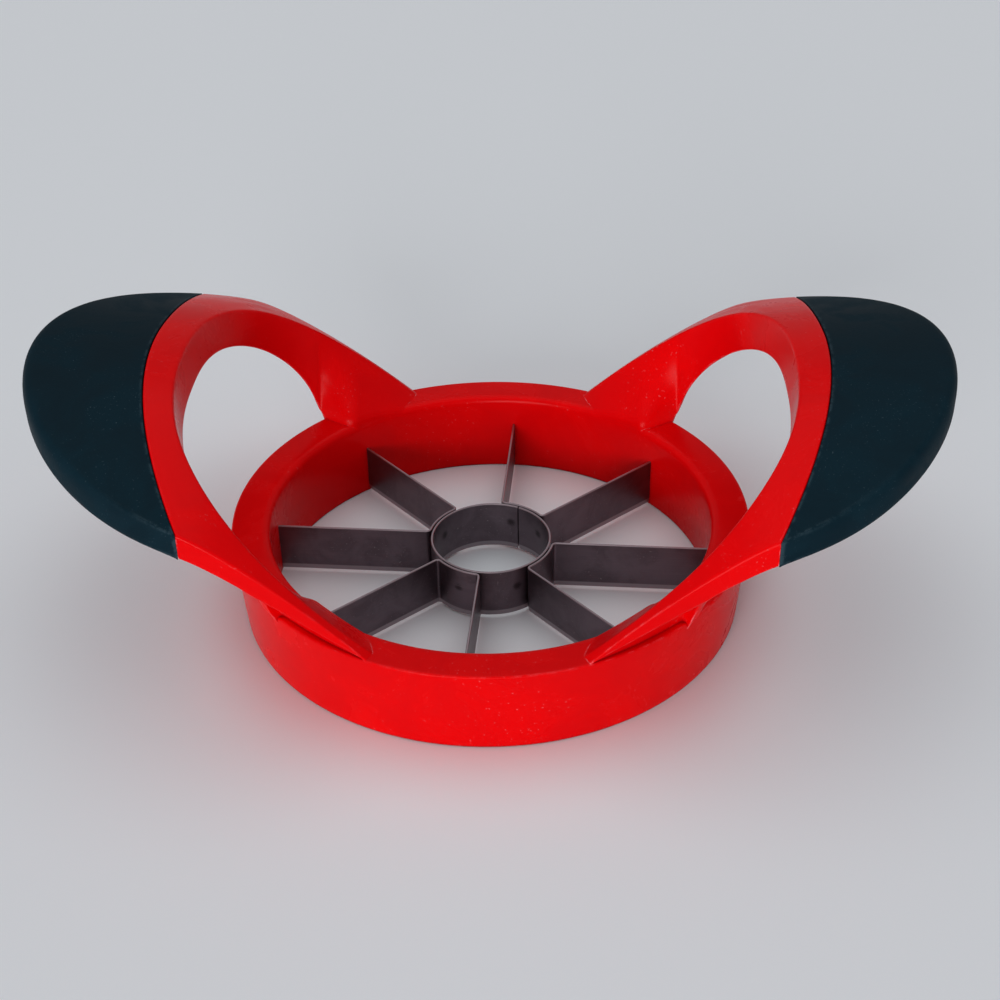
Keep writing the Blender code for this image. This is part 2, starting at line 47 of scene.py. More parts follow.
level_right = gaze.cross(Vector((0, 0, 1))).normalized()
level_up = level_right.cross(gaze)
camera_right = level_right * np.cos(roll) + level_up * np.sin(roll)
camera_up = level_up * np.cos(roll) - level_right * np.sin(roll)
camera_data = bpy.data.cameras.new("camera")
camera_data.sensor_width = 36
camera_data.lens = 57.6
camera_data.clip_start = 0.01
camera_data.clip_end = 20
camera = bpy.data.objects.new("camera", camera_data)
turn = Matrix((camera_right, camera_up, -gaze)).transposed().to_4x4()
camera.matrix_world = Matrix.Translation(eye) @ turn
bpy.context.collection.objects.link(camera)
bpy.context.scene.camera = camera
bpy.context.scene.view_settings.view_transform = "Standard"


# A large pale grey table top and soft studio light: an even pale room, a wide low window in front
# and a wide ceiling light, which together show each colour about as it is written.
def add_node(tree, kind, sockets=None, **choices):
    """A shader node. A socket takes a number, a colour, or another node's output."""
    made = tree.nodes.new(kind)
    for name, choice in choices.items():
        setattr(made, name, choice)
    for name, value in (sockets or {}).items():
        if isinstance(value, bpy.types.NodeSocket):
            tree.links.new(value, made.inputs[name])
        else:
            made.inputs[name].default_value = value
    return made


def start_material(name, **sockets):
    """A new material, its node tree, and its one surface shader with these constant sockets."""
    made = bpy.data.materials.new(name)
    made.use_nodes = True
    tree = made.node_tree
    surface = tree.nodes["Principled BSDF"]
    for socket, value in sockets.items():
        surface.inputs[socket.replace("_", " ")].default_value = value
    return made, tree, surface


table_colour = (0.86, 0.885, 0.92, 1)
table_finish, tree, surface = start_material(
    "table_top", Roughness=0.55, Base_Color=table_colour, Specular_IOR_Level=0.25)
table_half = 3.0
table_mesh = bpy.data.meshes.new("table_top")
table_mesh.from_pydata(
    [(-table_half, -table_half, 0), (table_half, -table_half, 0),
     (table_half, table_half, 0), (-table_half, table_half, 0)], [], [(0, 1, 2, 3)])
table_mesh.materials.append(table_finish)
table_top = bpy.data.objects.new("table_top", table_mesh)
bpy.context.collection.objects.link(table_top)

room = bpy.data.worlds.new("room")
bpy.context.scene.world = room
room.use_nodes = True
tree = room.node_tree
seen = add_node(tree, "ShaderNodeLightPath")
room_light = tree.nodes["Background"]
room_light.inputs["Color"].default_value = (0.95, 0.97, 1.0, 1)
room_light.inputs["Strength"].default_value = 0.33
backdrop = add_node(tree, "ShaderNodeBackground", {"Color": (0.62, 0.64, 0.67, 1), "Strength": 1.0})
which = add_node(tree, "ShaderNodeMixShader")
tree.links.new(seen.outputs["Is Camera Ray"], which.inputs[0])
tree.links.new(room_light.outputs[0], which.inputs[1])
tree.links.new(backdrop.outputs[0], which.inputs[2])
tree.links.new(which.outputs[0], tree.nodes["World Output"].inputs["Surface"])

for name, power, width, towards in (
        ("front_window", 3.2, 40, (0.25, 1.0, -0.06)), ("ceiling_light", 0.73, 70, (0.05, -0.15, -1.0))):
    lamp = bpy.data.lights.new(name, "SUN")
    lamp.energy = power
    lamp.angle = np.radians(width)
    lamp_object = bpy.data.objects.new(name, lamp)
    lamp_object.rotation_mode = "QUATERNION"
    lamp_object.rotation_quaternion = Vector(towards).to_track_quat("-Z", "Y")
    bpy.context.collection.objects.link(lamp_object)


# The frame is one glossy red moulding: a ring with a flat rim and an upright bore, and two wings
# that rise from the rim, bend over and run out almost level, each with a large finger hole.
ring_height = 0.0192
bore_radius = 0.0476
rim_radius = 0.0558
wall_foot_radius = 0.0543
arm_foot_x = 0.020716
arm_foot_y = 0.051273
oval_centre_x = 0.0480
oval_length = 0.0459
oval_half_width = 0.0480
tip_x = oval_centre_x + oval_length
hole_end_x = 0.0624
hole_half_width = 0.0492
seam_crest_x = 0.0695
seam_crest_y = 0.0080
seam_end_x = {-1: 0.0557, 1: 0.0680}
crest_height = 0.0609
wing_fall = 0.0423
tip_slope = 0.10
climb_start_x = 0.0560
climb_blend = 0.0050
climb_slope = 0.45
climb_bend = 0.200
cross_bend = 0.208
edge_full = 0.0060
edge_growth = 0.0150
edge_least = 0.0006
hole_end_power = 2.2
hole_side_power = 2.5
seam_front_power = 2.2
seam_back_power = 1.3
seam_middle_depth = 0.0088


def soft_ramp(run, blend):
    """Zero before the start and the run itself after it, with a hyperbola between the two."""
    return (run + np.sqrt(run * run + blend * blend)) / 2


def lower_of(a, b, blend):
    """The smaller of two values, with a parabola between them where they are close."""
    part = np.clip(0.5 + (b - a) / (2 * blend), 0, 1)
    return b + (a - b) * part - blend * part * (1 - part)


def blend_places(a, b, share):
    """Places or values a share of the way from a to b."""
    return a + (b - a) * share


def wing_drop(x, y):
    """How far a wing's upper face falls: a gentle slope from the tip, a climb that steepens towards
    the ring, and a parabola from front to back."""
    climb = soft_ramp(climb_start_x - x, climb_blend)
    return (tip_slope * (tip_x - x) + climb_slope * climb + climb * climb / climb_bend
            + y * y / cross_bend)


def wing_top(x, y):
    """Height of a wing's upper face: the fall, stretched to meet the rim at the wing's foot."""
    return crest_height - wing_fall * wing_drop(x, y) / wing_drop(arm_foot_x, arm_foot_y)


def edge_depth(x):
    """Height of a wing's thin outer side, which grows from nothing at the rim and levels off."""
    run = np.maximum(x - arm_foot_x, 0)
    return np.maximum(edge_full * (1 - np.exp(-run / edge_growth)), edge_least)


def outer_side(x):
    """Outer edge of a wing in plan: a straight arm up to the grip's front corner, then an ellipse."""
    corner_x = seam_end_x[-1]
    along = (np.maximum(x, corner_x) - oval_centre_x) / oval_length
    oval = oval_half_width * np.sqrt(1 - along ** 2)
    straight = arm_foot_y + (oval - arm_foot_y) * (x - arm_foot_x) / (corner_x - arm_foot_x)
    return np.where(x > corner_x, oval, straight)


def hole_share(x):
    """Place along the finger hole, from the wing's foot at 0 to the hole's end at 1."""
    return (x - arm_foot_x) / (hole_end_x - arm_foot_x)


def hole_side(x):
    """Half width of the finger hole: a superellipse of the place along it."""
    along = np.clip(hole_share(x), 0, 1) ** hole_end_power
    return hole_half_width * (1 - along) ** (1 / hole_side_power)


def hole_end(y):
    """Reach of the finger hole: the same superellipse, solved the other way."""
    across = (np.abs(y) / hole_half_width) ** hole_side_power
    return arm_foot_x + (hole_end_x - arm_foot_x) * (1 - across) ** (1 / hole_end_power)


def seam_end_y(way):
    """Where the seam of the grip meets the outer edge, at the front (-1) or at the back (1)."""
    return way * float(outer_side(seam_end_x[way]))


def seam_line(y):
    """Reach of the red arm, where the grip starts: one power curve down to the front corner and a
    flatter one to the back corner."""
    front = np.maximum(seam_crest_y - y, 0) / (seam_crest_y - seam_end_y(-1))
    back = np.maximum(y - seam_crest_y, 0) / (seam_end_y(1) - seam_crest_y)
    return (seam_crest_x - (seam_crest_x - seam_end_x[-1]) * front**seam_front_power
            - (seam_crest_x - seam_end_x[1]) * back**seam_back_power)


def seam_depth(share, way):
    """Depth of the wing along the seam: it grows as a quarter of a sine to the middle."""
    start = edge_depth(seam_end_x[way])
    return start + (seam_middle_depth - start) * np.sin(share * np.pi / 2)


# The wall of the finger hole spreads at its foot: it lies on the bore near the ring, crosses the
# rim, and leans ever less towards the hole's end.
turn_share = 0.35
crossing_length = 0.165
climb_start = 0.515
climb_length = 0.485
climb_power = 0.65
climb_round = 0.010
foot_lift = 0.0013
foot_lift_fall = 0.0023
foot_lift_power = 1.7
crossing_lift = 0.0008
rim_clear = 0.0005
hole_end_depth = 0.0083
hole_end_lean = 0.0011
crossing_power = 4.2
crossing_radius = 0.0456
inset_blend = 0.0140
bore_skin = 0.00005


def wall_foot_height(share):
    """Height of the lower edge of the hole's wall: it rises slightly off the rim along the bore,
    falls back to the rim as half a cosine, and then climbs as a power of the distance."""
    lifted = foot_lift - foot_lift_fall * np.clip(1 - share / turn_share, 0, 1) ** foot_lift_power
    across = np.clip((share - turn_share) / crossing_length, 0, 1)
    crossing = rim_clear + crossing_lift * (1 + np.cos(np.pi * across)) / 2
    rise = wing_top(hole_end_x, 0) - hole_end_depth - ring_height - rim_clear
    climb = rise * soft_ramp((share - climb_start) / climb_length, climb_round) ** climb_power
    return ring_height + np.where(share < turn_share, lifted, crossing) + climb


def wall_inset(x, y):
    """How far the lower edge of the hole's wall lies inside the upper edge: on the bore's surface
    near the ring, and then ever closer as a power of the way left."""
    turn_x = arm_foot_x + (hole_end_x - arm_foot_x) * turn_share
    widest = hole_side(turn_x) - np.sqrt(crossing_radius**2 - turn_x**2)
    left = (1 - np.minimum(hole_share(x), 1)) / (1 - turn_share)
    crossing = hole_end_lean + (widest - hole_end_lean) * left**crossing_power
    along = np.abs(y) - np.sqrt(np.maximum((bore_radius + bore_skin) ** 2 - x * x, 0))
    return np.where(x > crossing_radius, crossing, lower_of(along, crossing, inset_blend))


def wall_foot(x, y, way):
    """Lower edge of the hole's wall under a place of its upper edge: set in sideways along the arm,
    and towards the ring at the hole's end, by a steep power of the place along the hole."""
    inset = wall_inset(x, y)
    across = np.clip(hole_share(x), 0, 1) ** 8
    inner_y = y - way * inset * np.sqrt(1 - across * across)
    return np.stack([x - inset * across, inner_y, wall_foot_height(hole_share(x))], axis=-1)


least_wall = 0.0012
lip_share = 0.18
hollow_share = 0.55
root_outer_radius = 0.0554
root_inner_radius = 0.0538
root_depth = 0.0042
root_share = 0.485
root_blend = 0.010


def arm_corners(inner_x, inner_y, outer_x, outer_y, depth, way):
    """Corners of the wing's sections: the hole's lower edge, the top from the hole to the outer
    edge, the outer side's lower edge, and an underside that is hollow where the arm is free and
    stands in the ring's wall near the ring."""
    foot = wall_foot(inner_x, inner_y, way)
    top = []
    for share in (0, 1 / 3, 2 / 3, 1):
        x = blend_places(inner_x, outer_x, share)
        y = blend_places(inner_y, outer_y, share)
        top.append(np.stack([x, y, wing_top(x, y)], axis=-1))
    edge = top[-1] - np.stack([0 * depth, 0 * depth, depth], axis=-1)
    wall_height = np.maximum(top[0][:, 2] - foot[:, 2], least_wall)
    rise = np.clip((edge[:, 2] - foot[:, 2]) / wall_height, 0, 1)
    lip = blend_places(foot, edge, lip_share)
    hollow = blend_places(edge, blend_places(foot, top[0], rise[:, None]), hollow_share)
    hollow[:, 2] = edge[:, 2]
    middle = blend_places(hollow, lip, 0.5)

    x, foot_y, edge_y = foot[:, 0], np.abs(foot[:, 1]), np.abs(edge[:, 1])
    side_y = np.maximum(np.sqrt(np.maximum(root_outer_radius**2 - x * x, 0)), foot_y)
    within_y = np.maximum(np.sqrt(np.maximum(root_inner_radius**2 - x * x, 0)), foot_y)
    wall_spread = np.maximum(np.abs(top[0][:, 1]) - foot_y, least_wall)
    up_wall = np.clip((side_y - foot_y) / wall_spread, 0, 1)
    wall_z = blend_places(foot[:, 2], top[0][:, 2], up_wall) - least_wall
    low = ring_height - root_depth
    side = np.stack([x, way * np.minimum(side_y, edge_y),
                     np.minimum(edge[:, 2], np.maximum(wall_z, low))], axis=-1)
    within = np.stack([x, way * np.minimum(within_y, edge_y), np.minimum(low, edge[:, 2])], axis=-1)
    under_foot = np.stack([x, way * foot_y, low + 0 * x], axis=-1)
    root = (1 / (1 + np.exp((hole_share(x) - root_share) / root_blend)))[:, None]
    return np.stack([foot, *top, edge, blend_places(hollow, side, root),
                     blend_places(middle, within, root), blend_places(lip, under_foot, root)], axis=1)


def rounded_sections(corners, setbacks, sides, steps=6):
    """Closed outlines of many sections at once. A corner becomes a parabola that meets both its
    sides, and each side is divided into equal parts."""
    count = corners.shape[1]
    arcs = []
    along = np.linspace(0, 1, steps + 1)[None, :, None]
    for index in range(count):
        corner = corners[:, index]
        before = corners[:, index - 1] - corner
        after = corners[:, (index + 1) % count] - corner
        if not np.any(setbacks[index]):
            arcs.append(corner[:, None])
            continue
        reach_before = np.linalg.norm(before, axis=1, keepdims=True) + 1e-9
        reach_after = np.linalg.norm(after, axis=1, keepdims=True) + 1e-9
        start = corner + before / reach_before * np.minimum(setbacks[index], reach_before * 0.45)
        finish = corner + after / reach_after * np.minimum(setbacks[index], reach_after * 0.45)
        arcs.append((1 - along) ** 2 * start[:, None] + 2 * along * (1 - along) * corner[:, None]
                    + along**2 * finish[:, None])
    parts = []
    for index in range(count):
        parts.append(arcs[index])
        inside = np.linspace(0, 1, sides[index] + 1)[1:-1][None, :, None]
        start = arcs[index][:, -1:]
        finish = arcs[(index + 1) % count][:, :1]
        parts.append(start + (finish - start) * inside)
    return np.concatenate(parts, axis=1)


def skin(name, sections, closed=False):
    """A mesh over a grid of places: row by row, each row a closed outline. Unless the rows close
    on themselves, the first and the last are filled in."""
    rows, count, _ = sections.shape
    row = np.arange(rows if closed else rows - 1)[:, None]
    column = np.arange(count)[None, :]
    following = (row + 1) % rows
    after = (column + 1) % count
    corners = np.stack([row * count + column, row * count + after,
                        following * count + after, following * count + column], axis=-1)
    faces = corners.reshape(-1, 4).tolist()
    if not closed:
        faces.append(list(range(count))[::-1])
        faces.append(list(range((rows - 1) * count, rows * count)))
    mesh = bpy.data.meshes.new(name)
    mesh.from_pydata(sections.reshape(-1, 3), [], faces)
    return mesh


def face_out(mesh):
    """Turn a closed mesh right side out, judged by the volume that its faces enclose."""
    places = np.empty(len(mesh.vertices) * 3)
    mesh.vertices.foreach_get("co", places)
    places = places.reshape(-1, 3)
    mesh.calc_loop_triangles()
    corners = np.empty(len(mesh.loop_triangles) * 3, dtype=np.int32)
    mesh.loop_triangles.foreach_get("vertices", corners)
    a, b, c = places[corners.reshape(-1, 3)].transpose(1, 0, 2)
    if np.einsum("ij,ij->", a, np.cross(b, c)) < 0:
        mesh.flip_normals()


def link_piece(name, mesh, finish=None, crisp=40):
    """An object at the origin with that mesh, its faces outwards, smooth but for crisp edges."""
    piece = bpy.data.objects.new(name, mesh)
    bpy.context.collection.objects.link(piece)
    face_out(mesh)
    mesh.shade_smooth()
    mesh.set_sharp_from_angle(angle=np.radians(crisp))
    if finish:
        mesh.materials.append(finish)
    return piece


def join_and_cut(piece, joined=(), cut=()):
    """Unite pieces with the first one, cut others away, and keep the outcome as its own mesh."""
    for tool, operation in [(t, "UNION") for t in joined] + [(t, "DIFFERENCE") for t in cut]:
        change = piece.modifiers.new(tool.name, "BOOLEAN")
        change.operation = operation
        change.solver = "EXACT"
        change.object = tool
    shaped = piece.evaluated_get(bpy.context.evaluated_depsgraph_get())
    mesh = bpy.data.meshes.new_from_object(shaped)
    piece.modifiers.clear()
    piece.data = mesh
    for tool in (*joined, *cut):
        bpy.data.objects.remove(tool, do_unlink=True)
    return mesh


split_share = 0.70
overrun = 0.0035
least_arm = 0.0006
arm_rows = 110
end_rows = 60


def half_arm(way):
    """Sections of the red arm from the rim to the middle of the wing's end: first across the arm,
    with the outer ends drawn towards the seam's corner as a cube, and then round the hole's end."""
    split_x = arm_foot_x + (hole_end_x - arm_foot_x) * split_share
    share = np.linspace(0, 1, arm_rows, endpoint=False)
    inner_x = arm_foot_x - overrun + (split_x - arm_foot_x + overrun) * share
    outer_x = inner_x + (seam_end_x[way] - split_x) * share**3
    inner_y = np.minimum(hole_side(inner_x), outer_side(inner_x) - least_arm)
    start = arm_corners(
        inner_x, way * inner_y, outer_x, way * outer_side(outer_x), edge_depth(outer_x), way)
    share = np.linspace(0, 1, end_rows + 1)
    inner_y = way * hole_side(split_x) * (1 - share)
    outer_y = seam_end_y(way) * (1 - share)
    finish = arm_corners(
        hole_end(inner_y), inner_y, seam_line(outer_y), outer_y, seam_depth(share, way), way)
    corners = np.concatenate([start, finish])
    place = hole_share(corners[:, 0, 0])[:, None]
    near_ring = 1 / (1 + np.exp((place - 0.50) / 0.04))
    crossing = np.exp(-(((place - 0.40) / 0.10) ** 2))
    foot_round = 0.0006 + 0.0008 * near_ring + 0.0016 * crossing
    return rounded_sections(
        corners, (foot_round, 0.0006, 0, 0, 0.0007, 0.0006, 0.0004, 0.0004, 0.0004),
        (12, 3, 3, 3, 4, 4, 4, 4, 4), 6)


def both_halves(half):
    """The rows of the front half and then of the back half, which meet in the middle."""
    return np.concatenate([half(-1), half(1)[-2::-1]])


def round_axis(profile, turns):
    """Rows of places: a profile of radius and height, turned about the upright axis."""
    around = np.stack([np.cos(turns), np.sin(turns)], axis=-1)
    return np.concatenate([
        profile[None, :, :1] * around[:, None, :],
        np.repeat(profile[None, :, 1:], len(turns), axis=0)], axis=-1)


bore_round = 0.0019
profile = rounded_sections(
    np.array([[(bore_radius, 0, 0), (bore_radius, 0, ring_height), (rim_radius, 0, ring_height),
               (wall_foot_radius, 0, 0)]]), (0.0005, bore_round, 0.0006, 0.0006), (8, 4, 8, 4), 8)[0]
ring_rows = round_axis(profile[:, ::2], np.linspace(0, 2 * np.pi, 288, endpoint=False))

# Sixteen pockets leave the ring hollow from below, with webs between them.
pocket_count = 16
pocket_inner, pocket_outer = 0.0506, 0.0528
pocket_below, pocket_roof = -0.0010, 0.0160
web_half = 0.0008
pocket_half = np.pi / pocket_count - web_half / 0.0517
pocket_profile = np.array([
    (pocket_inner, pocket_below), (pocket_outer, pocket_below),
    (pocket_outer, pocket_roof), (pocket_inner, pocket_roof)])
pocket_places = [
    round_axis(pocket_profile, 2 * np.pi * pocket / pocket_count + np.linspace(-1, 1, 13) * pocket_half)
    for pocket in range(pocket_count)]


def start_group(name, inputs, outputs):
    """A node group with number inputs (name: usual value) and outputs (name: kind of socket)."""
    group = bpy.data.node_groups.new(name, "ShaderNodeTree")
    for socket, value in inputs.items():
        made = group.interface.new_socket(socket, in_out="INPUT", socket_type="NodeSocketFloat")
        made.default_value = value
    for socket, kind in outputs.items():
        group.interface.new_socket(socket, in_out="OUTPUT", socket_type="NodeSocket" + kind)
    given = group.nodes.new("NodeGroupInput").outputs
    return group, given, group.nodes.new("NodeGroupOutput").inputs


def use_group(tree, group, **sockets):
    """That node group in a material, with these numbers on its inputs."""
    used = tree.nodes.new("ShaderNodeGroup")
    used.node_tree = group
    for socket, value in sockets.items():
        used.inputs[socket].default_value = value
    return used.outputs


def spread(tree, value, low, high, start=0.0, finish=1.0):
    """A value between low and high as a share, eased at both ends, from start to finish."""
    return add_node(tree, "ShaderNodeMapRange", {
        "Value": value, "From Min": low, "From Max": high, "To Min": start, "To Max": finish},
        interpolation_type="SMOOTHSTEP").outputs["Result"]


def times(tree, a, b):
    """The product of two values."""
    made = add_node(tree, "ShaderNodeMath", operation="MULTIPLY")
    for index, value in enumerate((a, b)):
        if isinstance(value, bpy.types.NodeSocket):
            tree.links.new(value, made.inputs[index])
        else:
            made.inputs[index].default_value = value
    return made.outputs[0]


def tint(tree, share, below, above):
    """A colour that goes from below to above by a share."""
    made = add_node(tree, "ShaderNodeMix", data_type="RGBA")
    factor, first, second = (made.inputs[index] for index in (0, 6, 7))
    for socket, value in ((factor, share), (first, below), (second, above)):
        if isinstance(value, bpy.types.NodeSocket):
            tree.links.new(value, socket)
        else:
            socket.default_value = value
    return made.outputs[2]


# Painted edge light and crevice shade: the angle between the surface and its own rounded copy, kept
# where it stands proud and broken by noise, gives a painted highlight along edges; ambient occlusion
# gives a painted shade in crevices.
painted_glints_and_crevice_shade, given, result = start_group(
    "painted_glints_and_crevice_shade", {"Radius": 0.0006, "Breaks": 300.0, "Cover": 0.5},
    {"Mask": "Float", "Painted Crevice Shade": "Float"})
rounded = add_node(painted_glints_and_crevice_shade, "ShaderNodeBevel", {"Radius": given["Radius"]}, samples=6)
own = add_node(painted_glints_and_crevice_shade, "ShaderNodeNewGeometry")
agree = add_node(painted_glints_and_crevice_shade, "ShaderNodeVectorMath", operation="DOT_PRODUCT")
painted_glints_and_crevice_shade.links.new(rounded.outputs[0], agree.inputs[0])
painted_glints_and_crevice_shade.links.new(own.outputs["Normal"], agree.inputs[1])
open_air = add_node(
    painted_glints_and_crevice_shade, "ShaderNodeAmbientOcclusion", {"Distance": 0.0015}, samples=6).outputs["AO"]
place = add_node(painted_glints_and_crevice_shade, "ShaderNodeTexCoord").outputs["Object"]
breaks = add_node(painted_glints_and_crevice_shade, "ShaderNodeTexNoise", {
    "Vector": place, "Scale": given["Breaks"], "Detail": 3.0, "Roughness": 0.65}).outputs["Fac"]
edge = spread(painted_glints_and_crevice_shade, agree.outputs["Value"], 0.998, 0.95)
proud = spread(painted_glints_and_crevice_shade, open_air, 0.80, 0.97)
shown = add_node(painted_glints_and_crevice_shade, "ShaderNodeMath", {0: breaks}, operation="ADD")
painted_glints_and_crevice_shade.links.new(given["Cover"], shown.inputs[1])
broken = spread(painted_glints_and_crevice_shade, shown.outputs[0], 0.95, 1.12)
painted_glint_mask = times(painted_glints_and_crevice_shade, times(painted_glints_and_crevice_shade, edge, proud), broken)
painted_glints_and_crevice_shade.links.new(painted_glint_mask, result["Mask"])
painted_glints_and_crevice_shade.links.new(spread(painted_glints_and_crevice_shade, open_air, 0.75, 0.35), result["Painted Crevice Shade"])

# Fine relief: noise as a height, for the slight waviness of mouldings and the grain of rubber.
fine_relief, given, result = start_group(
    "fine_relief", {"Scale": 900.0, "Depth": 0.00002, "Strength": 0.3}, {"Normal": "Vector"})
place = add_node(fine_relief, "ShaderNodeTexCoord").outputs["Object"]
noise = add_node(fine_relief, "ShaderNodeTexNoise", {
    "Vector": place, "Scale": given["Scale"], "Detail": 3.0}).outputs["Fac"]
relief = add_node(fine_relief, "ShaderNodeBump", {
    "Height": noise, "Distance": given["Depth"], "Strength": given["Strength"]}).outputs["Normal"]
fine_relief.links.new(relief, result["Normal"])

# Handling marks: broad smears and small pale specks of dust.
handling, given, result = start_group(
    "handling", {"Scale": 60.0, "Specks": 1400.0}, {"Smears": "Float", "Dust": "Float"})
place = add_node(handling, "ShaderNodeTexCoord").outputs["Object"]
smears = add_node(handling, "ShaderNodeTexNoise", {
    "Vector": place, "Scale": given["Scale"], "Detail": 5.0, "Roughness": 0.6,
    "Distortion": 0.6}).outputs["Fac"]
specks = add_node(handling, "ShaderNodeTexNoise", {
    "Vector": place, "Scale": given["Specks"], "Detail": 2.0}).outputs["Fac"]
handling.links.new(spread(handling, smears, 0.35, 0.70), result["Smears"])
dusty = spread(handling, smears, 0.42, 0.62)
handling.links.new(times(handling, spread(handling, specks, 0.66, 0.74), dusty), result["Dust"])

red_plastic, tree, surface = start_material("red_plastic", Specular_IOR_Level=0.05)
marks = use_group(tree, handling, Scale=55.0, Specks=1500.0)
edges = use_group(tree, painted_glints_and_crevice_shade, Radius=0.00035, Breaks=420.0, Cover=0.52)
relief = use_group(tree, fine_relief, Scale=420.0, Depth=0.00003, Strength=0.25)
colour = tint(tree, marks["Smears"], (0.72, 0.0006, 0.0020, 1), (0.80, 0.0002, 0.0012, 1))
colour = tint(tree, times(tree, marks["Dust"], 0.20), colour, (0.80, 0.30, 0.33, 1))
# Painted highlight: pink glints along the proud edges. Painted shade: dark red in the crevices.
colour = tint(tree, times(tree, edges["Mask"], 0.75), colour, (0.92, 0.38, 0.44, 1))
colour = tint(tree, times(tree, edges["Painted Crevice Shade"], 0.55), colour, (0.10, 0.002, 0.006, 1))
tree.links.new(colour, surface.inputs["Base Color"])
tree.links.new(spread(tree, marks["Smears"], 0.0, 1.0, 0.22, 0.31), surface.inputs["Roughness"])
tree.links.new(relief["Normal"], surface.inputs["Normal"])

ring_and_wings = link_piece(
    "ring_and_wings", skin("ring_and_wings", ring_rows, closed=True), red_plastic)
arms = []
for side_name, side in (("right", 1), ("left", -1)):
    rows = both_halves(half_arm) * np.array([side, 1, 1])
    arms.append(link_piece(f"arm_{side_name}", skin(f"arm_{side_name}", rows), red_plastic))
pockets = [link_piece(f"pocket_{index + 1}", skin(f"pocket_{index + 1}", places))
           for index, places in enumerate(pocket_places)]
mesh = join_and_cut(ring_and_wings, joined=arms, cut=pockets)
mesh.shade_smooth()
mesh.set_sharp_from_angle(angle=np.radians(30))
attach(ring_and_wings, "root")
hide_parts("frame")


# The grips are soft dark rubber moulded over the wing ends, matt and smeared by use, with painted edge
# highlights and painted shade in crevices.
# Each is an oval cap with a full round along its outer edge and a clean seam against the red arm.
dark_rubber, tree, surface = start_material("dark_rubber", Specular_IOR_Level=0.05)
marks = use_group(tree, handling, Scale=75.0, Specks=2600.0)
edges = use_group(tree, painted_glints_and_crevice_shade, Radius=0.0012, Breaks=500.0, Cover=0.55)
relief = use_group(tree, fine_relief, Scale=2600.0, Depth=0.00004, Strength=0.6)
colour = tint(tree, marks["Smears"], (0.0022, 0.0125, 0.0200, 1), (0.0036, 0.0175, 0.0270, 1))
colour = tint(tree, times(tree, marks["Dust"], 0.55), colour, (0.060, 0.095, 0.115, 1))
# Painted highlight: paler blue-grey along the proud edges. Painted shade: near black in the crevices.
colour = tint(tree, times(tree, edges["Mask"], 0.50), colour, (0.050, 0.085, 0.105, 1))
colour = tint(tree, times(tree, edges["Painted Crevice Shade"], 0.7), colour, (0.001, 0.002, 0.003, 1))
tree.links.new(colour, surface.inputs["Base Color"])
tree.links.new(spread(tree, marks["Smears"], 0.0, 1.0, 0.52, 0.68), surface.inputs["Roughness"])
tree.links.new(relief["Normal"], surface.inputs["Normal"])


grip_gap = 0.00006
grip_belly = 0.0030


def half_grip(way):
    """Sections of the grip from the seam's corner to the tip: over the top from the seam to the
    outer edge, which is part of an ellipse, and back under the belly to the seam."""
    share = np.linspace(0, 1, 90)
    seam_y = seam_end_y(way) * (1 - share)
    seam_x = seam_line(seam_y) + grip_gap
    start = np.arctan2(
        seam_end_y(way) / oval_half_width, (seam_end_x[way] - oval_centre_x) / oval_length)
    turn = start * (1 - share)
    edge_x = np.maximum(oval_centre_x + oval_length * np.cos(turn), seam_x + 0.0003)
    edge_y = oval_half_width * np.sin(turn)
    edge = edge_depth(edge_x) + grip_belly * np.sin(share * np.pi / 2)
    upper = []
    lower = []
    for part in (0, 0.25, 0.5, 0.75, 1):
        x = blend_places(seam_x, edge_x, part)
        y = blend_places(seam_y, edge_y, part)
        top = wing_top(x, y)
        upper.append(np.stack([x, y, top], axis=-1))
        depth = blend_places(seam_depth(share, way), edge, part)
        lower.append(np.stack([x, y, top - depth], axis=-1))
    corners = np.stack(upper + lower[::-1], axis=1)
    return rounded_sections(
        corners, (0.0003, 0, 0, 0, 0.0052, 0.0026, 0, 0, 0, 0.0003),
        (4, 4, 4, 4, 3, 4, 4, 4, 4, 4), 10)


for side_name, side in (("right", 1), ("left", -1)):
    rows = both_halves(half_grip) * np.array([side, 1, 1])
    grip = link_piece(f"soft_grip_{side_name}", skin(f"soft_grip_{side_name}", rows), dark_rubber)
    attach(grip, "root")
    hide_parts(f"grip_{side_name}")


# The core ring is a strip of stainless steel rolled into a circle, with an open upright seam at the
# back right. The blade strips are welded round it with small spots that leave dark marks.
blade_bottom = 0.0006
blade_top = 0.0120
blade_thickness = 0.0005
ground_height = 0.0012
blade_steel, tree, surface = start_material("blade_steel", Metallic=1.0)
marks = use_group(tree, handling, Scale=140.0, Specks=2200.0)
place = add_node(tree, "ShaderNodeTexCoord").outputs["UV"]
drawn = add_node(tree, "ShaderNodeMapping", {"Vector": place, "Scale": (60.0, 9000.0, 1.0)}).outputs[0]
rolling = add_node(
    tree, "ShaderNodeTexNoise", {"Vector": drawn, "Scale": 1.0, "Detail": 4.0}).outputs["Fac"]
height = add_node(tree, "ShaderNodeSeparateXYZ", {"Vector": place}).outputs["Y"]
colour = tint(tree, rolling, (0.120, 0.088, 0.104, 1), (0.205, 0.160, 0.184, 1))
colour = tint(tree, times(tree, marks["Smears"], 0.45), colour, (0.060, 0.044, 0.050, 1))
colour = tint(tree, times(tree, marks["Dust"], 0.60), colour, (0.36, 0.30, 0.31, 1))
ground = spread(tree, height, blade_bottom + 0.0014, blade_bottom + 0.0011)
colour = tint(tree, times(tree, ground, 0.75), colour, (0.42, 0.36, 0.385, 1))
# Painted highlight: a pale line along the top edge of each strip.
painted_top_highlight = spread(tree, height, blade_top - 0.00030, blade_top - 0.00012)
colour = tint(tree, times(tree, painted_top_highlight, 0.70), colour, (0.46, 0.38, 0.41, 1))
weld_height = 0.0075
weld_places = (
    (0.0040, 0.0124), (0.0104, 0.0078), (-0.0110, 0.0068), (-0.0062, -0.0118), (0.0062, -0.0118))
spots = None
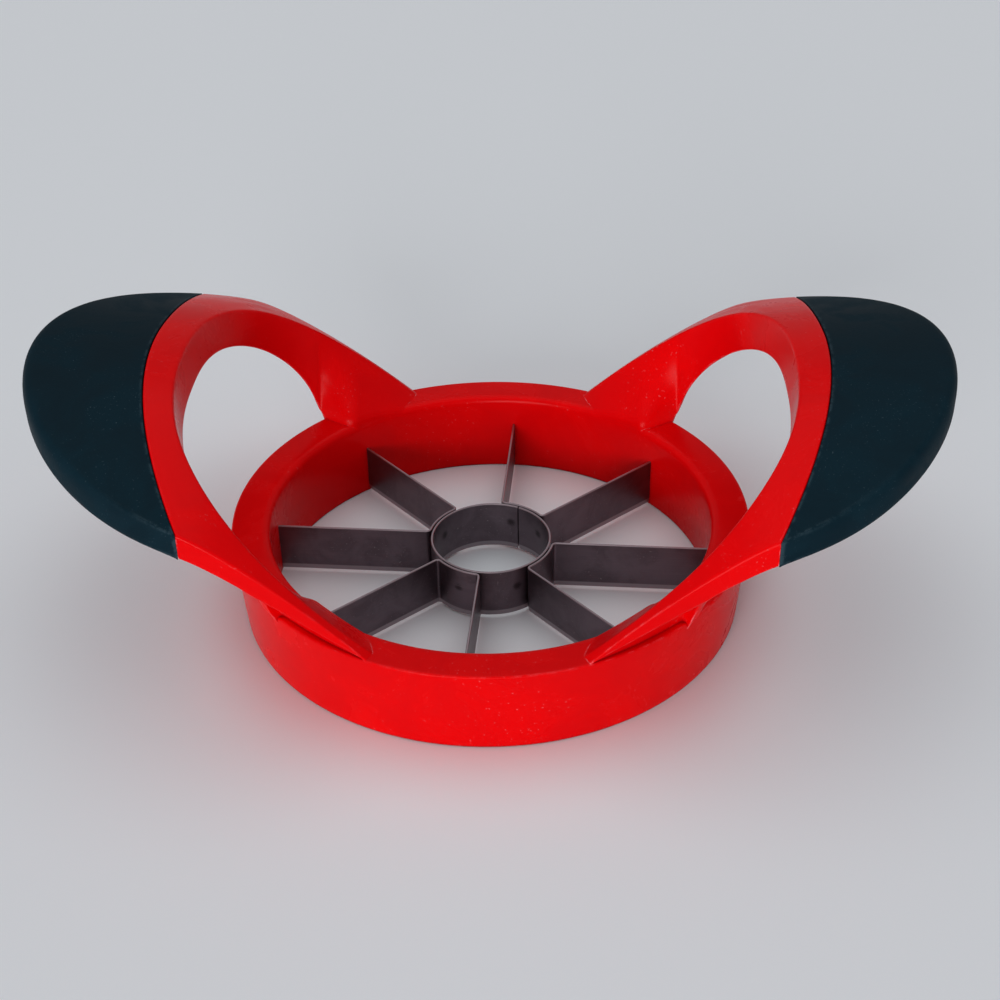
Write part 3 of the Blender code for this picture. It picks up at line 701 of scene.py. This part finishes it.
for x, y in weld_places:
    away = add_node(tree, "ShaderNodeVectorMath", operation="DISTANCE")
    tree.links.new(add_node(tree, "ShaderNodeTexCoord").outputs["Object"], away.inputs[0])
    away.inputs[1].default_value = (x, y, weld_height)
    ragged = add_node(tree, "ShaderNodeMath", {0: away.outputs["Value"]}, operation="ADD")
    tree.links.new(times(tree, rolling, 0.0016), ragged.inputs[1])
    spot = spread(tree, ragged.outputs[0], 0.0022, 0.0012)
    spots = spot if spots is None else add_node(
        tree, "ShaderNodeMath", {0: spots, 1: spot}, operation="MAXIMUM").outputs[0]
colour = tint(tree, times(tree, spots, 0.75), colour, (0.018, 0.012, 0.013, 1))
tree.links.new(colour, surface.inputs["Base Color"])
tree.links.new(spread(tree, rolling, 0.2, 0.8, 0.32, 0.48), surface.inputs["Roughness"])
relief = add_node(tree, "ShaderNodeBump", {"Height": rolling, "Distance": 0.00001, "Strength": 0.3})
tree.links.new(relief.outputs["Normal"], surface.inputs["Normal"])


def strip_mesh(name, path, thickness):
    """A strip of steel on edge: a tall thin profile with a ground lower edge and slightly broken
    upper corners, carried along a path in plan. Its map holds the distance along the strip and the
    height, in metres."""
    step = np.diff(path, axis=0)
    length = np.linalg.norm(step, axis=1, keepdims=True)
    step = step / length
    before = np.concatenate([step[:1], step])
    after = np.concatenate([step, step[-1:]])
    along = before + after
    along = along / np.linalg.norm(along, axis=1, keepdims=True)
    across = np.stack([-along[:, 1], along[:, 0]], axis=-1)
    reach = 1 / np.maximum(np.sum(along * after, axis=1), 0.5)
    half = thickness / 2
    one_side = [(half - 0.00010, blade_top), (half, blade_top - 0.00012), (half, 0.008),
                (half, 0.004), (half, blade_bottom + ground_height), (0.00005, blade_bottom)]
    other_side = [(-side, level) for side, level in one_side]
    corners = np.array([*other_side[1::-1], *one_side, *other_side[:1:-1]])
    plan = path[:, None] + across[:, None] * corners[None, :, :1] * reach[:, None, None]
    height = np.repeat(corners[None, :, 1:], len(path), axis=0)
    mesh = skin(name, np.concatenate([plan, height], axis=-1))
    run = np.concatenate([[0], np.cumsum(length)])
    place = np.stack([np.repeat(run, len(corners)), height[..., 0].ravel()], axis=-1)
    corner_vertex = np.empty(len(mesh.loops), dtype=np.int32)
    mesh.loops.foreach_get("vertex_index", corner_vertex)
    mesh.uv_layers.new(name="along_strip").data.foreach_set("uv", place[corner_vertex].ravel())
    return mesh


core_radius = 0.0132
core_thickness = 0.0005
core_middle = core_radius - core_thickness / 2
seam_half = 0.00015 / core_middle
seam_angle = np.radians(64)
turns = seam_angle + np.linspace(seam_half, 2 * np.pi - seam_half, 241)
core_path = core_middle * np.stack([np.cos(turns), np.sin(turns)], axis=-1)
core_band = link_piece(
    "core_band", strip_mesh("core_band", core_path, core_thickness), blade_steel, 30)
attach(core_band, "root")
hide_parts("core_ring")


# The eight blades are the legs of four bent steel strips. Each strip comes in from the ring, hugs
# the core ring for an eighth of a turn and goes out again. The ends are moulded into the red ring.
weld_gap = 0.0003
blade_embed = 0.0019
leg_inner_lean = np.radians(8)
leg_outer_lean = np.radians(4)
bend_reach = 0.0010


def place_round(angle, radius):
    """Place in plan at an angle round the centre."""
    return radius * np.array([np.cos(angle), np.sin(angle)])


def bend(start, corner, finish, steps=8):
    """A parabola from start to finish that leaves and arrives towards the corner."""
    share = np.linspace(0, 1, steps + 1)[:, None]
    return (1 - share) ** 2 * start + 2 * share * (1 - share) * corner + share**2 * finish


for strip in range(4):
    leg_angle = np.pi / 2 - strip * np.pi / 2
    hug = core_radius + weld_gap + blade_thickness / 2
    wall = bore_radius + blade_embed
    ends = []
    for angle in (leg_angle, leg_angle - np.pi / 4):
        inner = place_round(angle - leg_inner_lean, hug)
        outer = place_round(angle - leg_outer_lean, wall)
        ends.append((inner, outer, (outer - inner) / np.linalg.norm(outer - inner)))
    (inner_1, outer_1, way_1), (inner_2, outer_2, way_2) = ends
    short = bend_reach / hug
    start = leg_angle - leg_inner_lean
    turns = np.linspace(start - short, start - np.pi / 4 + short, 25)
    arc = hug * np.stack([np.cos(turns), np.sin(turns)], axis=-1)
    leg_share = np.linspace(0, 1, 13)[:-1, None]
    path = np.concatenate([
        blend_places(outer_1, inner_1 + way_1 * bend_reach, leg_share),
        bend(inner_1 + way_1 * bend_reach, inner_1, arc[0]),
        arc[1:-1],
        bend(arc[-1], inner_2, inner_2 + way_2 * bend_reach),
        blend_places(outer_2, inner_2 + way_2 * bend_reach, leg_share)[::-1]])
    name = f"blade_pair_{strip + 1}"
    blades = link_piece(name, strip_mesh(name, path, blade_thickness), blade_steel, 30)
    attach(blades, "root")
    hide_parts(f"blade_strip_{strip + 1}")
